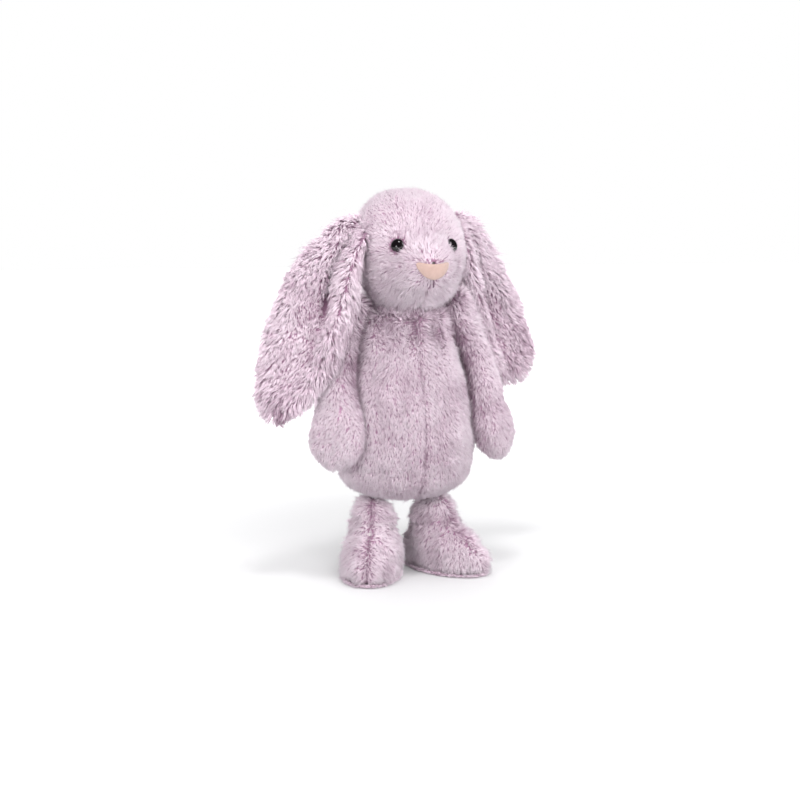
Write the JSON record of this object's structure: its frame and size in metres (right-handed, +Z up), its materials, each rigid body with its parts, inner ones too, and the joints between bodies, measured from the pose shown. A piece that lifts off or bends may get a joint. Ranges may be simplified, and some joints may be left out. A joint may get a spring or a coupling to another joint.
{
  "type": "stuffed bunny rabbit",
  "caption": "Standing plush bunny in soft lilac fur, with long hanging ears, a pear-shaped body, loose arms, splayed boot feet and a suede nose.",
  "frame": {"origin": "on the floor, under the middle of the bounding box", "axes": "+Z up, the toy faces -Y, its right side is -X"},
  "size_m": [0.253, 0.1372, 0.306],
  "materials": {
    "fur_plush": "long soft lilac plush pile",
    "ear_lining_plush": "shorter soft lilac plush pile",
    "sole_plush": "short flat lilac plush pile",
    "polyester_filling": "loose white fibre",
    "bead_pouch_cloth": "thin woven bag of small beads",
    "eye_gloss": "polished black",
    "washer_plastic": "moulded, natural white",
    "nose_suede": "peach pink suede cloth",
    "stitch_thread": "twisted embroidery thread"
  },
  "bodies": {
    "torso": {"body_panel_front_right": "fur_plush", "body_panel_front_left": "fur_plush", "body_panel_back_right": "fur_plush", "body_panel_back_left": "fur_plush", "body_filling": "polyester_filling", "bead_pouch": "bead_pouch_cloth", "tail_cover": "fur_plush", "tail_filling": "polyester_filling"},
    "neck": {"neck_filling": "polyester_filling"},
    "head": {"eye_right": "eye_gloss", "eye_washer_right": "washer_plastic", "eye_left": "eye_gloss", "eye_washer_left": "washer_plastic", "head_gusset": "fur_plush", "head_side_right": "fur_plush", "head_side_left": "fur_plush", "head_filling": "polyester_filling", "nose_patch": "nose_suede", "mouth_stitch": "stitch_thread"},
    "ear_right": {"ear_back_right": "fur_plush", "ear_lining_right": "ear_lining_plush"},
    "ear_left": {"ear_back_left": "fur_plush", "ear_lining_left": "ear_lining_plush"},
    "arm_right": {"arm_front_right": "fur_plush", "arm_back_right": "fur_plush", "arm_filling_right": "polyester_filling"},
    "arm_left": {"arm_front_left": "fur_plush", "arm_back_left": "fur_plush", "arm_filling_left": "polyester_filling"},
    "leg_right": {"leg_outer_right": "fur_plush", "leg_inner_right": "fur_plush", "foot_sole_right": "sole_plush", "leg_filling_right": "polyester_filling", "foot_beads_right": "bead_pouch_cloth"},
    "leg_left": {"leg_outer_left": "fur_plush", "leg_inner_left": "fur_plush", "foot_sole_left": "sole_plush", "leg_filling_left": "polyester_filling", "foot_beads_left": "bead_pouch_cloth"}
  },
  "joints": [
    {"name": "neck_turn", "type": "hinge", "parent": "torso", "child": "neck", "pos_m": [-0.00083, -0.00874, 0.211], "axis": [0, 0, 1], "range_deg": [-8, 8], "stiffness_Nm_per_rad": 0.06},
    {"name": "neck_nod", "type": "hinge", "parent": "neck", "child": "head", "pos_m": [-0.00083, -0.00874, 0.211], "axis": [1, 0, 0], "range_deg": [-8, 8], "stiffness_Nm_per_rad": 0.25},
    {"name": "ear_right_lift", "type": "hinge", "parent": "head", "child": "ear_right", "pos_m": [-0.04683, -0.01224, 0.2725], "axis": [0, 1, 0], "range_deg": [0, 120]},
    {"name": "ear_left_lift", "type": "hinge", "parent": "head", "child": "ear_left", "pos_m": [0.04517, -0.00824, 0.2735], "axis": [0, -1, 0], "range_deg": [0, 120]},
    {"name": "arm_right_swing", "type": "hinge", "parent": "torso", "child": "arm_right", "pos_m": [-0.04863, -0.00614, 0.204], "axis": [-1, 0, 0], "range_deg": [0, 70]},
    {"name": "arm_left_swing", "type": "hinge", "parent": "torso", "child": "arm_left", "pos_m": [0.04697, -0.00614, 0.204], "axis": [-1, 0, 0], "range_deg": [0, 70]},
    {"name": "leg_right_swing", "type": "hinge", "parent": "torso", "child": "leg_right", "pos_m": [-0.02733, -0.00474, 0.042], "axis": [-1, 0, 0], "range_deg": [-20, 60]},
    {"name": "leg_left_swing", "type": "hinge", "parent": "torso", "child": "leg_left", "pos_m": [0.02567, -0.00474, 0.042], "axis": [-1, 0, 0], "range_deg": [-20, 60]}
  ]
}
